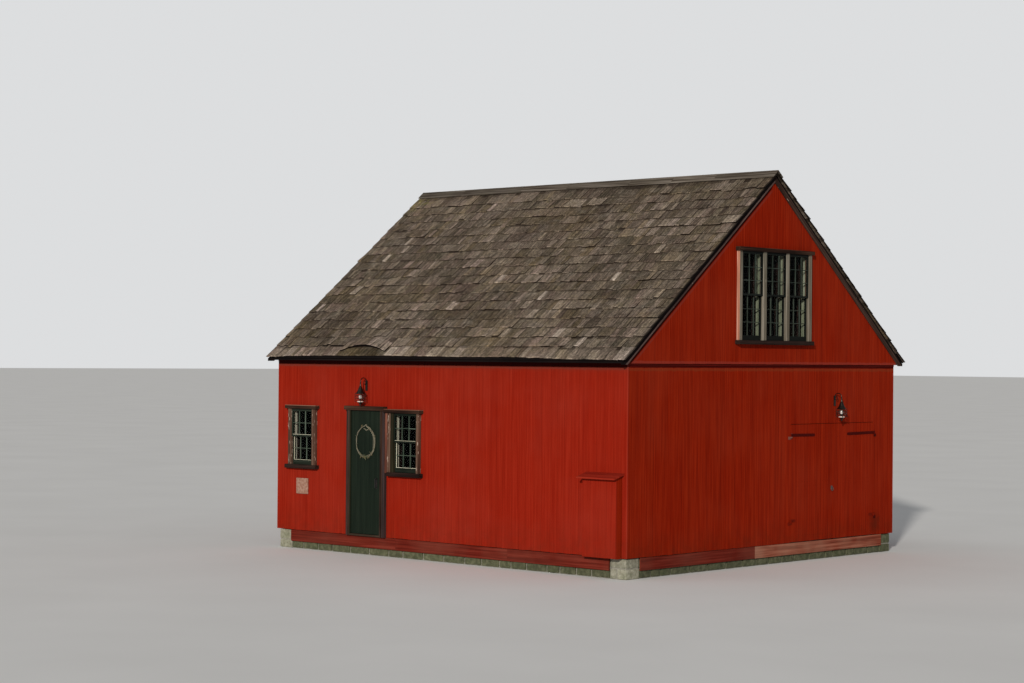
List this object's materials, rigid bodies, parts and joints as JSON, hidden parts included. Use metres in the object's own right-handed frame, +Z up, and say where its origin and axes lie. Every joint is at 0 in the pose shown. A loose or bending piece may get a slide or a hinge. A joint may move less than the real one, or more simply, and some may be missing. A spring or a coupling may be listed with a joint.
{
  "type": "boathouse",
  "caption": "Timber boathouse with steep shingled gable roof, red board walls, hinged green entry door, sash windows and double plank doors on the gable.",
  "frame": {"origin": "on the ground under the middle of the plan, at the foot of the middle pier", "axes": "+Z up; the long front with the entry door faces -Y; the gable with the double plank doors faces +X; +X runs along the ridge"},
  "size_m": [7.97, 7.544, 6.201],
  "materials": {
    "red_boards": "weathered barn red paint on vertical boards",
    "faded_red_boards": "sun faded red paint on boards",
    "roof_shingles": "weathered grey brown wood shingles",
    "dark_trim": "dark brown stained boards",
    "grey_casing": "bare weathered boards",
    "green_paint": "dark green paint, slightly chalky",
    "floor_boards": "worn bare boards",
    "vine": "dry twisted vine",
    "window_glass": "old clear window glass",
    "clear_glass": "clear lantern glass",
    "black_iron": "black coated iron, lightly rusted",
    "painted_iron": "iron painted over with the wall red",
    "bare_steel": "dull galvanised steel",
    "pier_stone": "weathered pale stone with lime and moss",
    "plaque_clay": "bare mottled pinkish clay slab"
  },
  "bodies": {
    "building": {"foundation_piers": "pier_stone", "foundation_walls": "pier_stone", "skirt_boards": "faded_red_boards", "main_floor": "floor_boards", "front_wall_left": "red_boards", "front_wall_right": "red_boards", "front_wall_over_door": "red_boards", "back_wall": "red_boards", "left_wall": "red_boards", "right_wall_near": "red_boards", "right_wall_far": "red_boards", "right_wall_over_doors": "red_boards", "upper_gable_right": "red_boards", "upper_gable_left": "red_boards", "loft_floor": "floor_boards", "roof_front": "roof_shingles", "roof_back": "roof_shingles", "ridge_cap": "roof_shingles", "rake_boards": "dark_trim", "eave_fascias": "dark_trim", "ground_window_frames": "grey_casing", "ground_window_sashes": "green_paint", "ground_window_glass": "window_glass", "gable_window_frames": "grey_casing", "gable_window_sashes": "green_paint", "gable_window_glass": "window_glass", "entry_door_frame": "dark_trim", "door_thresholds": "floor_boards", "barn_door_frame": "dark_trim", "hinge_pintles": "painted_iron", "entry_lantern": "black_iron", "barn_lantern": "black_iron", "lantern_globes": "clear_glass", "plaque": "plaque_clay", "service_box": "red_boards", "service_box_lid": "faded_red_boards"},
    "entry_leaf": {"entry_door": "green_paint", "entry_door_latch": "black_iron", "entry_door_straps": "black_iron", "wreath": "vine"},
    "barn_leaf_left": {"barn_door_left": "red_boards", "barn_straps_left": "painted_iron", "barn_door_pull": "bare_steel"},
    "barn_leaf_right": {"barn_door_right": "red_boards", "barn_straps_right": "painted_iron"}
  },
  "joints": [
    {"name": "entry_door_hinge", "type": "hinge", "parent": "building", "child": "entry_leaf", "pos_m": [-1.973, -3.527, 1.35], "axis": [0, 0, 1], "range_deg": [0, 95]},
    {"name": "barn_left_hinge", "type": "hinge", "parent": "building", "child": "barn_leaf_left", "pos_m": [3.823, 0.55, 1.25], "axis": [0, 0, -1], "range_deg": [0, 165]},
    {"name": "barn_right_hinge", "type": "hinge", "parent": "building", "child": "barn_leaf_right", "pos_m": [3.823, 2.94, 1.25], "axis": [0, 0, 1], "range_deg": [0, 165]}
  ]
}
